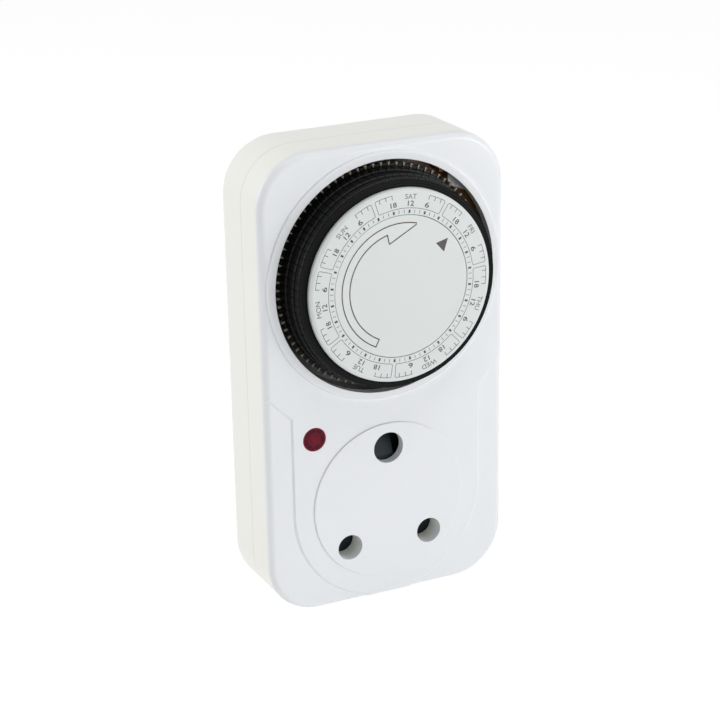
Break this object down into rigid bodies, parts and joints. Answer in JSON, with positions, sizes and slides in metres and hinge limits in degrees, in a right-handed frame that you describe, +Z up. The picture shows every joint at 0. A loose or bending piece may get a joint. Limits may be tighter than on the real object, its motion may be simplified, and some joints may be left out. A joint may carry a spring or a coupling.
{
  "type": "plug-in timer switch",
  "caption": "Plug-in socket timer switch with a weekly dial of push-in tappets, a shuttered round-pin socket in front and matching plug pins behind.",
  "frame": {"origin": "on the flat bottom, under the middle of the width, in the plane where the front and rear shells meet", "axes": "front faces -Y, plug pins point +Y, +Z up, +X to the right seen from the front"},
  "size_m": [0.075, 0.0772, 0.1357],
  "materials": {
    "shell": "fine satin moulding",
    "drum": "glossy black moulding",
    "print": "white printed face",
    "centre": "white printed face",
    "tappet": "glossy black moulding",
    "ivory": "natural ivory moulding",
    "phenolic": "brown laminated board",
    "chassis": "dark grey moulding",
    "steel": "zinc plated",
    "spring": "bright wire",
    "brass": "machined",
    "copper": "stamped strip",
    "lens": "translucent red",
    "lamp": "clear",
    "resistor": "lacquered",
    "grey": "plain moulding"
  },
  "bodies": {
    "housing": {"front_cover": "shell", "rear_cover": "shell", "housing_screws": "steel", "line_pin": "brass", "line_contact": "copper", "neutral_pin": "brass", "neutral_contact": "copper", "earth_pin": "brass", "earth_contact": "copper", "line_strap": "copper", "switched_strap": "copper", "contact_carrier": "grey", "shutter_spring": "spring", "indicator_lens": "lens", "neon_lamp": "lamp", "lamp_resistor": "resistor", "mechanism_plate": "chassis", "board_screws": "steel", "dial_spindle": "steel", "centre_disc": "centre", "motor_can": "steel", "motor_flange": "steel", "motor_screws": "steel", "switch_board": "phenolic", "lever_pin": "steel", "switch_body": "phenolic"},
    "dial": {"dial_drum": "drum", "dial_ring": "print", "dial_gear": "ivory", "clutch_spring": "spring", "saturday_tappets": "tappet", "thursday_tappets": "tappet", "wednesday_tappets": "tappet", "tuesday_tappets": "tappet", "monday_tappets": "tappet", "sunday_tappets": "tappet"},
    "transfer": {"transfer_shaft": "steel", "transfer_pinion": "ivory", "transfer_wheel": "ivory"},
    "motor_rotor": {"motor_pinion": "brass"},
    "shutter": {"socket_shutter": "grey"},
    "lever": {"switch_lever": "steel"},
    "plunger": {"switch_plunger": "grey"},
    "override": {"override_slide": "drum"},
    "friday_tappet_00h": {"friday_tappet_00h": "tappet"},
    "friday_tappet_02h": {"friday_tappet_02h": "tappet"},
    "friday_tappet_04h": {"friday_tappet_04h": "tappet"},
    "friday_tappet_06h": {"friday_tappet_06h": "tappet"},
    "friday_tappet_08h": {"friday_tappet_08h": "tappet"},
    "friday_tappet_10h": {"friday_tappet_10h": "tappet"},
    "friday_tappet_12h": {"friday_tappet_12h": "tappet"},
    "friday_tappet_14h": {"friday_tappet_14h": "tappet"},
    "friday_tappet_16h": {"friday_tappet_16h": "tappet"},
    "friday_tappet_18h": {"friday_tappet_18h": "tappet"},
    "friday_tappet_20h": {"friday_tappet_20h": "tappet"},
    "friday_tappet_22h": {"friday_tappet_22h": "tappet"}
  },
  "joints": [
    {"name": "dial_spin", "type": "hinge", "parent": "housing", "child": "dial", "pos_m": [0, 0, 0.09735], "axis": [0, 1, 0], "continuous": true},
    {"name": "transfer_spin", "type": "hinge", "parent": "housing", "child": "transfer", "pos_m": [0.0176, 0, 0.06687], "axis": [0, 1, 0], "continuous": true},
    {"name": "motor_spin", "type": "hinge", "parent": "housing", "child": "motor_rotor", "pos_m": [0.0101, 0, 0.07986], "axis": [0, 1, 0], "continuous": true},
    {"name": "shutter_slide", "type": "slide", "parent": "housing", "child": "shutter", "axis": [0, 0, -1], "range_m": [0, 0.009], "stiffness_N_per_m": 20, "springref_m": -0.015, "deforming": ["shutter_spring"]},
    {"name": "lever_swing", "type": "hinge", "parent": "housing", "child": "lever", "pos_m": [0.0315, 0, 0.118], "axis": [0, 1, 0], "range_deg": [0, 4], "stiffness_Nm_per_rad": 0.0001, "springref_deg": -11.46},
    {"name": "plunger_slide", "type": "slide", "parent": "housing", "child": "plunger", "axis": [0, 0, 1], "range_m": [0, 0.0006]},
    {"name": "override_slide", "type": "slide", "parent": "housing", "child": "override", "axis": [0, 0, 1], "range_m": [0, 0.004]},
    {"name": "friday_tappet_00h_slide", "type": "slide", "parent": "dial", "child": "friday_tappet_00h", "axis": [0.9946, 0, 0.1039], "range_m": [0, 0.0011]},
    {"name": "friday_tappet_02h_slide", "type": "slide", "parent": "dial", "child": "friday_tappet_02h", "axis": [0.984, 0, 0.1779], "range_m": [0, 0.0011]},
    {"name": "friday_tappet_04h_slide", "type": "slide", "parent": "dial", "child": "friday_tappet_04h", "axis": [0.968, 0, 0.251], "range_m": [0, 0.0011]},
    {"name": "friday_tappet_06h_slide", "type": "slide", "parent": "dial", "child": "friday_tappet_06h", "axis": [0.9465, 0, 0.3226], "range_m": [0, 0.0011]},
    {"name": "friday_tappet_08h_slide", "type": "slide", "parent": "dial", "child": "friday_tappet_08h", "axis": [0.9198, 0, 0.3925], "range_m": [0, 0.0011]},
    {"name": "friday_tappet_10h_slide", "type": "slide", "parent": "dial", "child": "friday_tappet_10h", "axis": [0.8879, 0, 0.4601], "range_m": [0, 0.0011]},
    {"name": "friday_tappet_12h_slide", "type": "slide", "parent": "dial", "child": "friday_tappet_12h", "axis": [0.851, 0, 0.5252], "range_m": [0, 0.0011]},
    {"name": "friday_tappet_14h_slide", "type": "slide", "parent": "dial", "child": "friday_tappet_14h", "axis": [0.8094, 0, 0.5873], "range_m": [0, 0.0011]},
    {"name": "friday_tappet_16h_slide", "type": "slide", "parent": "dial", "child": "friday_tappet_16h", "axis": [0.7632, 0, 0.6461], "range_m": [0, 0.0011]},
    {"name": "friday_tappet_18h_slide", "type": "slide", "parent": "dial", "child": "friday_tappet_18h", "axis": [0.7128, 0, 0.7014], "range_m": [0, 0.0011]},
    {"name": "friday_tappet_20h_slide", "type": "slide", "parent": "dial", "child": "friday_tappet_20h", "axis": [0.6584, 0, 0.7527], "range_m": [0, 0.0011]},
    {"name": "friday_tappet_22h_slide", "type": "slide", "parent": "dial", "child": "friday_tappet_22h", "axis": [0.6003, 0, 0.7998], "range_m": [0, 0.0011]}
  ],
  "couplings": [
    {"joint": "transfer_spin", "follows": "dial_spin", "ratio": -6.3333},
    {"joint": "motor_spin", "follows": "dial_spin", "ratio": 25.333},
    {"joint": "plunger_slide", "follows": "lever_swing", "m_per_rad": 0.0065}
  ]
}
